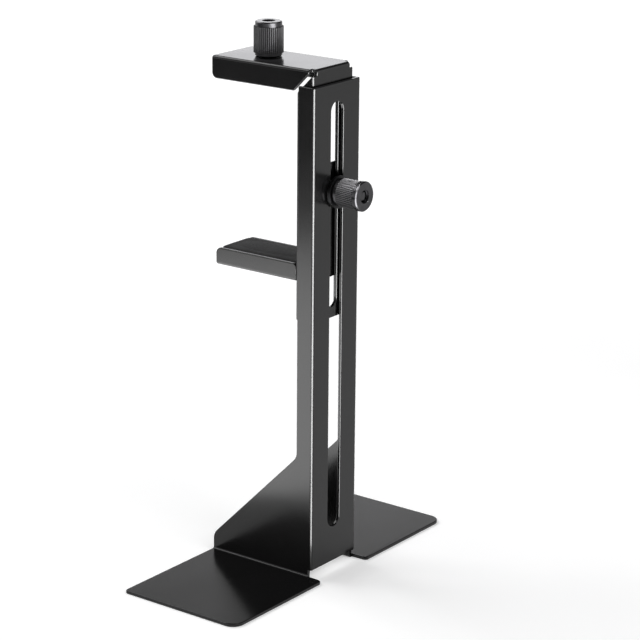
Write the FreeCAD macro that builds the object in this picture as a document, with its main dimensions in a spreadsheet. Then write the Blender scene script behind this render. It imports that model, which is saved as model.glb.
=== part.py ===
import FreeCAD, Part
import math
import os

import Sketcher

# Graphics card support bracket: a folded stand, a folded top bracket that slides in it,
# a folded lower arm that slides in both, and two knurled thumb screws.
# Frame: millimetres, +Z up, the floor at Z = 0, the slotted web of the stand faces +X,
# and the part is symmetric about Y = 0. The origin is the centre of the footprint.

# Driving dimensions in millimetres, and angles in degrees
DIMENSIONS = {
    # The folded sheets
    "sheet_gauge": 1.2,  # thickness of all three folded sheets
    "bend_outer": 1.0,  # outer radius of every bend
    "bend_inner": 0.5,  # inner radius of every bend
    "slide_gap": 0.5,  # clearance between one sliding channel and the next
    "seat_gap": 0.15,  # running clearance under a knob or a washer

    # The stand
    "column_height": 170,  # top of the column above the floor
    "column_width": 25.2,  # outer width of the column
    "column_depth": 6.6,  # depth of the column's side flanges
    "column_foot_gap": 3.4,  # height of the web's lower edge above the floor
    "foot_reach": 47,  # how far each foot reaches out from the column's side
    "foot_back": 42.8,  # how far the feet reach behind the web's outer face
    "foot_front": 4.8,  # how far the feet reach in front of the web's outer face
    "foot_inner_gap": 0.3,  # gap between a foot's front tab and the column's side
    "foot_front_round": 4.3,  # outer front corner radius of a foot
    "foot_corner_round": 1.2,  # other corner radii of a foot
    "bend_relief": 0.4,  # relief between a bend's end and the edge beside it
    "gusset_toe": 6.7,  # height of the gusset's rear edge
    "gusset_angle": 45,  # slope of the gusset's upper edge in degrees
    "gusset_hollow_round": 4.5,  # radius where the gusset runs into the column
    "gusset_toe_round": 5,  # radius over the gusset's toe
    "stand_slot_width": 6.6,  # width of the stand's slot
    "stand_slot_low": 16,  # lower end of the stand's slot above the floor
    "stand_slot_top": 6,  # upper end of the stand's slot below the column's top

    # The upper bracket
    "bracket_height": 90.2,  # lower end of the bracket's leg above the floor
    "leg_length": 85.2,  # height of the bracket, from the leg's end to the plate's top
    "leg_depth": 6.6,  # depth of the leg's side flanges
    "plate_reach": 42.1,  # reach of the top plate behind the leg's outer face
    "lip_height": 7.6,  # height of the top plate's side lips, plate included
    "lip_round": 2,  # radius of the lips' free lower corner
    "leg_corner_round": 1.2,  # radius of the flanges' lower rear corner
    "mitre_above": 0.5,  # upper edge of the mitre slit, measured up from the diagonal
    "mitre_below": 1.3,  # lower edge of the mitre slit, measured down from the diagonal
    "corner_notch": 2.0,  # size of the relief notch at each top corner
    "leg_slot_width": 5.4,  # width of the leg's slot
    "leg_slot_low": 3.8,  # lower end of the leg's slot above the leg's end
    "leg_slot_top": 7.4,  # upper end of the leg's slot below the plate's top
    "plate_screw_back": 26.8,  # axis of the clamp screw behind the leg's outer face

    # The lower arm
    "arm_height": 103.45,  # underside of the arm's tray above the floor
    "arm_leg": 39.35,  # height of the arm's leg, tray included
    "arm_reach": 40.4,  # reach of the tray behind the leg's outer face
    "tray_lip_start": 6.4,  # start of the tray's lips behind the leg's outer face
    "tray_lip_height": 6.0,  # height of the tray's lips, plate included
    "tray_corner_round": 1.2,  # radius of the lips' upper corner at the column
    "tray_end_round": 2,  # radius of the lips' upper corner at the free end
    "tray_relief": 1.0,  # width of the relief beside each tray bend
    "arm_top_round": 1.5,  # radius of the arm leg's top corners
    "arm_screw_top": 9,  # axis of the side screw below the top of the arm's leg
    "pad_thickness": 5.35,  # thickness of the tray's rubber pad
    "pad_side_gap": 0.1,  # gap between the pad and the start of each lip's bend
    "pad_end_gap": 1.0,  # gap between the pad and each end of the lips
    "pad_round": 0.6,  # edge radius of the pad

    # The screws, nuts and washer
    "thread_radius": 2.45,  # outer radius of the M5 thread
    "thread_gap": 0.07,  # radial clearance of the thread in its nut
    "screw_chamfer": 0.45,  # chamfer on a screw's ends
    "clamp_screw_length": 16,  # length of the vertical clamp screw
    "side_screw_length": 18,  # length of the side screw
    "dog_radius": 1.75,  # radius of the clamp screw's dog point
    "dog_length": 1.6,  # length of the clamp screw's dog point
    "socket_width": 2.5,  # width across flats of a screw's hexagon socket
    "socket_depth": 2.5,  # depth of a screw's hexagon socket
    "nut_radius": 4.75,  # flange radius of a clinch nut
    "nut_height": 2.0,  # flange height of a clinch nut
    "nut_shank_radius": 3.2,  # radius of the shank pressed into the sheet
    "nut_shank_length": 1.0,  # length of the shank pressed into the sheet
    "nut_chamfer": 0.4,  # chamfer on a clinch nut's flange
    "washer_radius": 5.5,  # outer radius of the washer
    "washer_bore": 2.55,  # inner radius of the washer
    "washer_thickness": 1.0,  # thickness of the washer
    "foot_pad_radius": 4.0,  # radius of the rubber pressure foot
    "foot_pad_height": 3.0,  # height of the rubber pressure foot
    "foot_pad_chamfer": 0.5,  # chamfer of the pressure foot
    "foot_pad_clearance": 0.06,  # radial clearance of the dog point in the pressure foot

    # The top knob, which has straight splines
    "top_knob_length": 11.6,  # length of the top knob
    "top_upper_collar": 1.75,  # length of the plain collar at the face
    "top_lower_collar": 1.15,  # length of the plain collar at the plate
    "top_collar_radius": 4.5,  # radius of the plain collars
    "top_knurl_radius": 5.0,  # radius over the splines
    "top_recess_radius": 2.15,  # radius of the hole in the top face
    "top_recess_depth": 3.0,  # depth from the face to the screw's end
    "spline_depth": 0.32,  # depth of a spline groove
    "spline_share": 0.55,  # share of the pitch that a groove takes at the surface
    "spline_count": 44,  # number of spline grooves
    "knob_chamfer": 0.3,  # chamfer on the knobs' other rims

    # The side knob, which has slanted splines
    "side_knob_length": 10.1,  # length of the side knob
    "side_rear_collar": 1.5,  # length of the collar at the washer
    "side_front_collar": 1.7,  # length of the collar at the face
    "side_collar_radius": 5.05,  # radius of the front collar
    "side_rear_radius": 4.6,  # radius of the rear collar
    "side_knurl_radius": 4.85,  # radius over the slanted splines
    "side_recess_radius": 2.3,  # radius of the hole in the face
    "side_recess_depth": 0.8,  # depth from the face to the screw's end
    "side_face_chamfer": 0.5,  # chamfer round the knob's face
    "slant_angle": 24,  # slant of the side knob's splines in degrees
    "slant_count": 40,  # number of slanted splines
}

# How close two places are to count as the same
SAME_PLACE = 1e-4
# The least change of volume that a pad or a pocket makes
LEAST_VOLUME = 1e-3
# Share of a slanted spline's pitch by which one section of the loft is turned past the last
RING_STEP = 0.4

os.makedirs("parts", exist_ok=True)
Vector = FreeCAD.Vector
doc = FreeCAD.newDocument("card_support_bracket")
sheet = doc.addObject("Spreadsheet::Sheet", "sizes")
for row, (alias, value) in enumerate(DIMENSIONS.items(), 1):
    sheet.set(f"A{row}", alias)
    sheet.set(f"B{row}", str(value))
    sheet.setAlias(f"B{row}", alias)
doc.recompute()

# Expressions that several pieces share
BEND_OUTER = "sizes.bend_outer"
BEND_HOLLOW = "(sizes.sheet_gauge + sizes.bend_inner)"
FOLD_REACH = f"(max({BEND_OUTER}; {BEND_HOLLOW}) + sizes.bend_relief)"
SHEET_STEP = "(sizes.sheet_gauge + sizes.slide_gap)"
PAST = "sizes.sheet_gauge"
FOOT_OUTER = "(sizes.column_width / 2 + sizes.foot_reach)"
FOOT_INNER = "(sizes.column_width / 2 + sizes.foot_inner_gap)"
GUSSET_TOP = "(sizes.gusset_toe + (sizes.foot_back - sizes.column_depth) * tan(sizes.gusset_angle))"
BRACKET_WIDTH = f"(sizes.column_width - 2 * {SHEET_STEP})"
ARM_WIDTH = f"(sizes.column_width - 4 * {SHEET_STEP})"
PLATE_TOP = "(sizes.bracket_height + sizes.leg_length)"
SCREW_HEIGHT = "(sizes.arm_height + sizes.arm_leg - sizes.arm_screw_top)"
WASHER_FACE = "(sizes.seat_gap + sizes.washer_thickness)"
KNOB_FACE = f"({WASHER_FACE} + sizes.seat_gap / 2 + sizes.side_knob_length)"
REACH_BACK = f"max(sizes.foot_back; {SHEET_STEP} + sizes.plate_reach)"
WEB_X = f"(({REACH_BACK} - {KNOB_FACE}) / 2)"
CLAMP_X = f"({WEB_X} - {SHEET_STEP} - sizes.plate_screw_back)"


def number(expression):
    """Value of an expression in the sheet's names."""
    return float(sheet.evalExpression(expression.replace("sizes.", "")))


def fail(message):
    raise RuntimeError(message)


def hold(sketch, kind, *where, expression):
    """Add a dimension to a sketch and bind it to an expression."""
    index = sketch.addConstraint(Sketcher.Constraint(kind, *where, number(expression)))
    sketch.setExpression(f"Constraints[{index}]", expression)


def pin(sketch, geometry, point, across, up):
    """Hold a point of the sketch at two distances from its origin."""
    for kind, axis, expression in (("DistanceX", -2, across), ("DistanceY", -1, up)):
        if expression == "0":
            sketch.addConstraint(Sketcher.Constraint("PointOnObject", geometry, point, axis))
        else:
            hold(sketch, kind, -1, 1, geometry, point, expression=expression)


def outline(sketch, corners):
    """Closed outline. A corner is (across, up), or (across, up, centre across, centre up) where
    an arc of less than half a turn leads on to the next corner."""
    points = [Vector(number(corner[0]), number(corner[1]), 0) for corner in corners]
    ends = []
    for index, corner in enumerate(corners):
        start = points[index]
        finish = points[(index + 1) % len(points)]
        if len(corner) == 2:
            geometry = sketch.addGeometry(Part.LineSegment(start, finish))
            ends.append((geometry, 1, 2))
            continue
        centre = Vector(number(corner[2]), number(corner[3]), 0)
        outwards = (start + finish) / 2 - centre
        outwards.normalize()
        bulge = centre + outwards * start.distanceToPoint(centre)
        if (start - centre).cross(finish - centre).z > 0:
            geometry = sketch.addGeometry(Part.Arc(start, bulge, finish))
            ends.append((geometry, 1, 2))
        else:
            geometry = sketch.addGeometry(Part.Arc(finish, bulge, start))
            ends.append((geometry, 2, 1))
        hold(sketch, "DistanceY", -1, 1, geometry, 3, expression=corner[3])
    for index, (geometry, start, finish) in enumerate(ends):
        following, first, _ = ends[(index + 1) % len(ends)]
        sketch.addConstraint(Sketcher.Constraint("Coincident", geometry, finish, following, first))
        pin(sketch, geometry, start, corners[index][0], corners[index][1])


def slot_outline(sketch, width, low, high):
    """Upright slot with round ends, centred across the sketch."""
    radius = number(width) / 2
    bottom = number(low) + radius
    top = number(high) - radius
    up = Vector(0, 0, 1)
    low_circle = Part.Circle(Vector(0, bottom, 0), up, radius)
    high_circle = Part.Circle(Vector(0, top, 0), up, radius)
    right_line = Part.LineSegment(Vector(radius, bottom, 0), Vector(radius, top, 0))
    left_line = Part.LineSegment(Vector(-radius, top, 0), Vector(-radius, bottom, 0))
    lower = sketch.addGeometry(Part.ArcOfCircle(low_circle, math.pi, 2 * math.pi))
    upper = sketch.addGeometry(Part.ArcOfCircle(high_circle, 0, math.pi))
    right = sketch.addGeometry(right_line)
    left = sketch.addGeometry(left_line)
    joints = ((lower, 2, right, 1), (right, 2, upper, 1), (upper, 2, left, 1), (left, 2, lower, 1))
    for joint in joints:
        sketch.addConstraint(Sketcher.Constraint("Tangent", *joint))
    for arc in (lower, upper):
        sketch.addConstraint(Sketcher.Constraint("PointOnObject", arc, 3, -2))
    sketch.addConstraint(Sketcher.Constraint("Equal", lower, upper))
    hold(sketch, "Radius", lower, expression=f"{width} / 2")
    hold(sketch, "DistanceY", -1, 1, lower, 3, expression=f"{low} + {width} / 2")
    hold(sketch, "DistanceY", -1, 1, upper, 3, expression=f"{high} - {width} / 2")


def circle_outline(sketch, radius, across, up):
    """Full circle held by its centre and radius."""
    centre = Vector(number(across), number(up), 0)
    circle = sketch.addGeometry(Part.Circle(centre, Vector(0, 0, 1), number(radius)))
    hold(sketch, "Radius", circle, expression=radius)
    pin(sketch, circle, 3, across, up)


def new_body(label):
    return doc.addObject("PartDesign::Body", label)


def new_sketch(body, name, role, offset=None):
    """Sketch on one of the body's own origin planes, moved along its normal by an offset."""
    sketch = body.newObject("Sketcher::SketchObject", f"{body.Name}_{name}")
    plane = [feature for feature in body.Origin.OriginFeatures if feature.Role == role][0]
    sketch.AttachmentSupport = (plane, [""])
    sketch.MapMode = "FlatFace"
    if offset:
        sketch.setExpression("AttachmentOffset.Base.z", offset)
    doc.recompute()
    return sketch


def feature_from(body, kind, sketch, name, length=None, both_ways=False, turned=False):
    """Pad or Pocket of a sketch. Its volume shows that it did something."""
    before = 0 if body.Shape.isNull() else body.Shape.Volume
    feature = body.newObject(f"PartDesign::{kind}", f"{body.Name}_{name}")
    feature.Profile = sketch
    feature.Reversed = turned
    if both_ways:
        feature.SideType = "Symmetric"
    feature.setExpression("Length", length)
    doc.recompute()
    change = body.Shape.Volume - before
    if (change if kind == "Pad" else -change) < LEAST_VOLUME:
        fail(f"{feature.Name} changed nothing")
    return feature


def revolve(body, sketch, name):
    feature = body.newObject("PartDesign::Revolution", f"{body.Name}_{name}")
    feature.Profile = sketch
    feature.ReferenceAxis = (sketch, ["V_Axis"])
    feature.Angle = 360
    doc.recompute()
    return feature


def edges_along(body, axis, **place):
    """Names of the body's straight edges along an axis, at the given places. A place along Y
    stands for both sides of the part."""
    names = []
    for index, edge in enumerate(body.Shape.Edges, 1):
        span = edge.BoundBox
        reach = {"x": span.XLength, "y": span.YLength, "z": span.ZLength}[axis]
        if edge.Length - reach > SAME_PLACE or span.DiagonalLength - reach > SAME_PLACE:
            continue
        middle = edge.CenterOfMass
        found = {"x": middle.x, "y": abs(middle.y), "z": middle.z}
        if all(abs(found[key] - number(expression)) < SAME_PLACE for key, expression in place.items()):
            names.append(f"Edge{index}")
    if not names:
        fail(f"{body.Name} has no edge along {axis} at {place}")
    return names


def dress(body, kind, name, edges, amount):
    """Fillet or Chamfer of named edges of the body's tip."""
    base = body.Tip
    feature = body.newObject(f"PartDesign::{kind}", f"{body.Name}_{name}")
    feature.Base = (base, edges)
    feature.setExpression("Radius" if kind == "Fillet" else "Size", amount)
    doc.recompute()
    if feature.State != ["Up-to-date"]:
        fail(f"{feature.Name} is {feature.State}")


def place(thing, across, up, turned=False):
    """Put a piece in the part's frame. A turned piece has its own +Z along the part's +X."""
    if turned:
        thing.Placement = FreeCAD.Placement(Vector(), FreeCAD.Rotation(Vector(0, 1, 0), 90))
    thing.setExpression("Placement.Base.x", across)
    thing.setExpression("Placement.Base.z", up)


def build_stand():
    """Column, gussets and feet, folded from one sheet."""
    body = new_body("stand")
    relief = f"-({BEND_OUTER} + sizes.bend_relief)"
    side = new_sketch(body, "side", "XZ_Plane")
    outline(side, [
        ("0", "sizes.column_foot_gap"),
        ("0", "sizes.column_height"),
        ("-sizes.column_depth", "sizes.column_height"),
        ("-sizes.column_depth", GUSSET_TOP),
        ("-sizes.foot_back", "sizes.gusset_toe"),
        ("-sizes.foot_back", FOLD_REACH),
        (relief, FOLD_REACH),
        (relief, "sizes.column_foot_gap"),
    ])
    feature_from(body, "Pad", side, "block", "sizes.column_width", both_ways=True)
    half = "sizes.column_width / 2"
    dress(body, "Fillet", "outer_bends", edges_along(body, "z", x="0", y=half), BEND_OUTER)

    inside = new_sketch(body, "inside", "XZ_Plane")
    outline(inside, [
        ("-sizes.sheet_gauge", f"-{PAST}"),
        ("-sizes.sheet_gauge", f"sizes.column_height + {PAST}"),
        (f"-sizes.foot_back - {PAST}", f"sizes.column_height + {PAST}"),
        (f"-sizes.foot_back - {PAST}", f"-{PAST}"),
    ])
    inner_width = "sizes.column_width - 2 * sizes.sheet_gauge"
    feature_from(body, "Pocket", inside, "hollow", inner_width, both_ways=True)
    inner_edges = edges_along(body, "z", x="-sizes.sheet_gauge", y=f"({inner_width}) / 2")
    dress(body, "Fillet", "inner_bends", inner_edges, "sizes.bend_inner")
    hollow_edges = edges_along(body, "y", x="-sizes.column_depth", z=GUSSET_TOP)
    dress(body, "Fillet", "gusset_hollow", hollow_edges, "sizes.gusset_hollow_round")
    toe_edges = edges_along(body, "y", x="-sizes.foot_back", z="sizes.gusset_toe")
    dress(body, "Fillet", "gusset_toes", toe_edges, "sizes.gusset_toe_round")

    for name, sign in (("left", "-"), ("right", "")):
        wall_in = f"{sign}({half} - sizes.sheet_gauge)"
        wall_out = f"{sign}({half})"
        under = f"{sign}({half} - sizes.sheet_gauge + {BEND_OUTER})"
        hollow = f"{sign}({half} + sizes.bend_inner)"
        outer = f"{sign}{FOOT_OUTER}"
        section = new_sketch(body, f"{name}_foot", "YZ_Plane", "-sizes.foot_back")
        outline(section, [
            (wall_in, FOLD_REACH),
            (wall_in, BEND_OUTER, under, BEND_OUTER),
            (under, "0"),
            (outer, "0"),
            (outer, "sizes.sheet_gauge"),
            (hollow, "sizes.sheet_gauge", hollow, BEND_HOLLOW),
            (wall_out, BEND_HOLLOW),
            (wall_out, FOLD_REACH),
        ])
        feature_from(body, "Pad", section, f"{name}_foot_pad", "sizes.foot_back + sizes.foot_front")

    notch = new_sketch(body, "notch", "XZ_Plane")
    outline(notch, [
        (relief, f"-{PAST}"),
        (f"sizes.foot_front + {PAST}", f"-{PAST}"),
        (f"sizes.foot_front + {PAST}", "sizes.column_foot_gap"),
        (relief, "sizes.column_foot_gap"),
    ])
    feature_from(body, "Pocket", notch, "front_notch", f"2 * {FOOT_INNER}", both_ways=True)
    front_edges = edges_along(body, "z", x="sizes.foot_front", y=FOOT_OUTER)
    dress(body, "Fillet", "foot_front_corners", front_edges, "sizes.foot_front_round")
    small_edges = edges_along(body, "z", x="-sizes.foot_back", y=FOOT_OUTER)
    small_edges += edges_along(body, "z", x="sizes.foot_front", y=FOOT_INNER)
    dress(body, "Fillet", "foot_small_corners", small_edges, "sizes.foot_corner_round")

    slot = new_sketch(body, "slot", "YZ_Plane")
    slot_top = "(sizes.column_height - sizes.stand_slot_top)"
    slot_outline(slot, "sizes.stand_slot_width", "sizes.stand_slot_low", slot_top)
    feature_from(body, "Pocket", slot, "slot_cut", "2 * sizes.sheet_gauge")
    place(body, WEB_X, "0")
    return body


def build_upper_bracket():
    """Slotted leg and lipped top plate, folded from one sheet, with mitred corners."""
    body = new_body("upper_bracket")
    lip_bottom = "(sizes.leg_length - sizes.lip_height)"
    half = f"{BRACKET_WIDTH} / 2"
    side = new_sketch(body, "side", "XZ_Plane")
    outline(side, [
        ("0", "0"),
        ("0", "sizes.leg_length"),
        ("-sizes.plate_reach", "sizes.leg_length"),
        ("-sizes.plate_reach", lip_bottom),
        ("-sizes.leg_depth", lip_bottom),
        ("-sizes.leg_depth", "0"),
    ])
    feature_from(body, "Pad", side, "block", BRACKET_WIDTH, both_ways=True)
    bends = edges_along(body, "z", x="0", y=half)
    bends += edges_along(body, "x", y=half, z="sizes.leg_length")
    bends += edges_along(body, "y", x="0", z="sizes.leg_length")
    dress(body, "Fillet", "outer_bends", bends, BEND_OUTER)

    inside = new_sketch(body, "inside", "XZ_Plane")
    under_plate = "sizes.leg_length - sizes.sheet_gauge"
    outline(inside, [
        ("-sizes.sheet_gauge", f"-{PAST}"),
        ("-sizes.sheet_gauge", under_plate),
        (f"-sizes.plate_reach - {PAST}", under_plate),
        (f"-sizes.plate_reach - {PAST}", f"-{PAST}"),
    ])
    inner_width = f"{BRACKET_WIDTH} - 2 * sizes.sheet_gauge"
    feature_from(body, "Pocket", inside, "hollow", inner_width, both_ways=True)
    wall = f"({inner_width}) / 2"
    bends = edges_along(body, "z", x="-sizes.sheet_gauge", y=wall)
    bends += edges_along(body, "x", y=wall, z=under_plate)
    bends += edges_along(body, "y", x="-sizes.sheet_gauge", z=under_plate)
    dress(body, "Fillet", "inner_bends", bends, "sizes.bend_inner")

    # The slit follows the diagonal of the corner and opens into a square notch at the top.
    far = "(sizes.leg_depth + sizes.lip_height)"
    notch_low = "(sizes.leg_length - sizes.corner_notch)"
    mitre = new_sketch(body, "mitre", "XZ_Plane", half)
    outline(mitre, [
        (PAST, notch_low),
        (PAST, f"sizes.leg_length + {PAST}"),
        ("-sizes.corner_notch", f"sizes.leg_length + {PAST}"),
        ("-sizes.corner_notch", "sizes.leg_length - sizes.corner_notch + sizes.mitre_above"),
        (f"-{far}", f"sizes.leg_length - {far} + sizes.mitre_above"),
        (f"-{far}", f"sizes.leg_length - {far} - sizes.mitre_below"),
        ("sizes.mitre_below - sizes.corner_notch", notch_low),
    ])
    slit = feature_from(body, "Pocket", mitre, "mitre_slit", "sizes.corner_notch")
    mirror = body.newObject("PartDesign::Mirrored", "upper_bracket_mitre_mirror")
    mirror.Originals = [slit]
    plane = [feature for feature in body.Origin.OriginFeatures if feature.Role == "XZ_Plane"][0]
    mirror.MirrorPlane = (plane, [""])
    body.Tip = mirror
    doc.recompute()

    corners = edges_along(body, "y", x="-sizes.plate_reach", z=lip_bottom)
    dress(body, "Fillet", "lip_corners", corners, "sizes.lip_round")
    corners = edges_along(body, "y", x="-sizes.leg_depth", z="0")
    dress(body, "Fillet", "leg_corners", corners, "sizes.leg_corner_round")

    slot = new_sketch(body, "slot", "YZ_Plane")
    slot_top = "(sizes.leg_length - sizes.leg_slot_top)"
    slot_outline(slot, "sizes.leg_slot_width", "sizes.leg_slot_low", slot_top)
    feature_from(body, "Pocket", slot, "slot_cut", "2 * sizes.sheet_gauge")
    hole = new_sketch(body, "hole", "XY_Plane", "sizes.leg_length")
    circle_outline(hole, "sizes.nut_shank_radius", "-sizes.plate_screw_back", "0")
    feature_from(body, "Pocket", hole, "nut_hole", "2 * sizes.sheet_gauge")
    place(body, f"{WEB_X} - {SHEET_STEP}", "sizes.bracket_height")
    return body


def build_lower_arm():
    """Flat leg and lipped tray, folded from one sheet."""
    body = new_body("lower_arm")
    half = f"({ARM_WIDTH} / 2)"
    gauge = "sizes.sheet_gauge"
    strip = new_sketch(body, "strip", "XZ_Plane")
    outline(strip, [
        ("0", BEND_OUTER),
        ("0", "sizes.arm_leg"),
        ("-sizes.sheet_gauge", "sizes.arm_leg"),
        ("-sizes.sheet_gauge", BEND_HOLLOW, f"-{BEND_HOLLOW}", BEND_HOLLOW),
        (f"-{BEND_HOLLOW}", gauge),
        ("-sizes.tray_lip_start", gauge),
        ("-sizes.tray_lip_start", "0"),
        (f"-{BEND_OUTER}", "0", f"-{BEND_OUTER}", BEND_OUTER),
    ])
    feature_from(body, "Pad", strip, "strip_pad", ARM_WIDTH, both_ways=True)

    inner = f"({half} - {gauge})"
    bend = f"({half} - {BEND_OUTER})"
    hollow = f"({half} - {BEND_HOLLOW})"
    lip = "sizes.tray_lip_height"
    section = new_sketch(body, "tray", "YZ_Plane", "-sizes.tray_lip_start")
    outline(section, [
        (f"-{bend}", "0"),
        (bend, "0", bend, BEND_OUTER),
        (half, BEND_OUTER),
        (half, lip),
        (inner, lip),
        (inner, BEND_HOLLOW, hollow, BEND_HOLLOW),
        (hollow, gauge),
        (f"-{hollow}", gauge, f"-{hollow}", BEND_HOLLOW),
        (f"-{inner}", BEND_HOLLOW),
        (f"-{inner}", lip),
        (f"-{half}", lip),
        (f"-{half}", BEND_OUTER, f"-{bend}", BEND_OUTER),
    ])
    tray_length = "sizes.arm_reach - sizes.tray_lip_start"
    feature_from(body, "Pad", section, "tray_pad", tray_length, turned=True)
    corners = edges_along(body, "y", x="-sizes.tray_lip_start", z=lip)
    dress(body, "Fillet", "tray_corners", corners, "sizes.tray_corner_round")
    corners = edges_along(body, "y", x="-sizes.arm_reach", z=lip)
    dress(body, "Fillet", "tray_end_corners", corners, "sizes.tray_end_round")
    corners = edges_along(body, "x", y=half, z="sizes.arm_leg")
    dress(body, "Fillet", "leg_top_corners", corners, "sizes.arm_top_round")

    for name, sign in (("left", "-"), ("right", "")):
        relief = new_sketch(body, f"{name}_relief", "XY_Plane")
        near = "-sizes.tray_lip_start + sizes.tray_relief"
        fold = f"{sign}({half} - {FOLD_REACH})"
        outline(relief, [
            ("-sizes.tray_lip_start", fold),
            (near, fold),
            (near, f"{sign}({half} + {PAST})"),
            ("-sizes.tray_lip_start", f"{sign}({half} + {PAST})"),
        ])
        depth = f"2 * (sizes.sheet_gauge + {PAST})"
        feature_from(body, "Pocket", relief, f"{name}_relief_cut", depth, both_ways=True)
    hole = new_sketch(body, "hole", "YZ_Plane")
    circle_outline(hole, "sizes.nut_shank_radius", "0", "sizes.arm_leg - sizes.arm_screw_top")
    feature_from(body, "Pocket", hole, "nut_hole", "2 * sizes.sheet_gauge")
    place(body, f"{WEB_X} - 2 * {SHEET_STEP}", "sizes.arm_height")
    return body


def build_tray_pad():
    """Rubber pad that lies between the tray's lips."""
    body = new_body("tray_pad")
    start = "sizes.tray_lip_start + sizes.pad_end_gap"
    finish = "sizes.arm_reach - sizes.pad_end_gap"
    half = f"({ARM_WIDTH} / 2 - {BEND_HOLLOW} - sizes.pad_side_gap)"
    plan = new_sketch(body, "plan", "XY_Plane")
    outline(plan, [
        (f"-({start})", f"-{half}"),
        (f"-({start})", half),
        (f"-({finish})", half),
        (f"-({finish})", f"-{half}"),
    ])
    feature_from(body, "Pad", plan, "block", "sizes.pad_thickness")
    edges = edges_along(body, "x", y=half, z="sizes.pad_thickness")
    edges += edges_along(body, "y", z="sizes.pad_thickness")
    edges += edges_along(body, "z", y=half)
    dress(body, "Fillet", "soft_edges", edges, "sizes.pad_round")
    place(body, f"{WEB_X} - 2 * {SHEET_STEP}", "sizes.arm_height + sizes.sheet_gauge")
    return body


def build_clinch_nut(label, across, up, turned):
    """Round clinch nut. Its flange lies below its own XY plane and its shank above."""
    body = new_body(label)
    bore = "(sizes.thread_radius + sizes.thread_gap)"
    profile = new_sketch(body, "profile", "XZ_Plane")
    outline(profile, [
        (bore, "-sizes.nut_height"),
        ("sizes.nut_radius - sizes.nut_chamfer", "-sizes.nut_height"),
        ("sizes.nut_radius", "-sizes.nut_height + sizes.nut_chamfer"),
        ("sizes.nut_radius", "0"),
        ("sizes.nut_shank_radius", "0"),
        ("sizes.nut_shank_radius", "sizes.nut_shank_length"),
        (bore, "sizes.nut_shank_length"),
    ])
    revolve(body, profile, "turned")
    place(body, across, up, turned)
    return body


def build_screw(label, length, point, across, up, turned):
    """Headless screw with a hexagon socket. It hangs down from its own XY plane."""
    body = new_body(label)
    thread = "sizes.thread_radius"
    chamfer = "sizes.screw_chamfer"
    profile = new_sketch(body, "profile", "XZ_Plane")
    corners = [
        ("0", "0"),
        (f"{thread} - {chamfer}", "0"),
        (thread, f"-{chamfer}"),
    ]
    if point:
        shoulder = f"-({length} - sizes.dog_length)"
        corners += [
            (thread, f"{shoulder} + {thread} - sizes.dog_radius"),
            ("sizes.dog_radius", shoulder),
            ("sizes.dog_radius", f"-{length}"),
        ]
    else:
        corners += [
            (thread, f"-({length} - {chamfer})"),
            (f"{thread} - {chamfer}", f"-{length}"),
        ]
    corners.append(("0", f"-{length}"))
    outline(profile, corners)
    revolve(body, profile, "turned")
    socket = new_sketch(body, "socket", "XY_Plane")
    corner = "(sizes.socket_width / 2 / cos(30))"
    turns = [f"{60 * step}" for step in range(6)]
    outline(socket, [
        (f"{corner} * cos({turn} + 30)", f"{corner} * sin({turn} + 30)") for turn in turns
    ])
    feature_from(body, "Pocket", socket, "socket_cut", "sizes.socket_depth")
    place(body, across, up, turned)
    return body


def build_washer():
    body = new_body("side_washer")
    profile = new_sketch(body, "profile", "XZ_Plane")
    outline(profile, [
        ("sizes.washer_bore", "0"),
        ("sizes.washer_radius", "0"),
        ("sizes.washer_radius", "sizes.washer_thickness"),
        ("sizes.washer_bore", "sizes.washer_thickness"),
    ])
    revolve(body, profile, "turned")
    place(body, f"{WEB_X} + sizes.seat_gap", SCREW_HEIGHT, turned=True)
    return body


def build_pressure_foot():
    """Rubber foot on the clamp screw's dog point, free to stay still while the screw turns."""
    body = new_body("pressure_foot")
    bore = "(sizes.dog_radius + sizes.foot_pad_clearance)"
    floor = "-(sizes.dog_length + sizes.seat_gap)"
    edge = "(sizes.foot_pad_radius - sizes.foot_pad_chamfer)"
    low = "-sizes.foot_pad_height"
    profile = new_sketch(body, "profile", "XZ_Plane")
    outline(profile, [
        ("0", low),
        (edge, low),
        ("sizes.foot_pad_radius", f"{low} + sizes.foot_pad_chamfer"),
        ("sizes.foot_pad_radius", "-sizes.foot_pad_chamfer"),
        (edge, "0"),
        (bore, "0"),
        (bore, floor),
        ("0", floor),
    ])
    revolve(body, profile, "turned")
    shoulder = "sizes.clamp_screw_length - sizes.dog_length + sizes.seat_gap / 2"
    place(body, CLAMP_X, f"{PLATE_TOP} + sizes.seat_gap + sizes.top_knob_length"
          f" - sizes.top_recess_depth - ({shoulder})")
    return body


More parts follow.
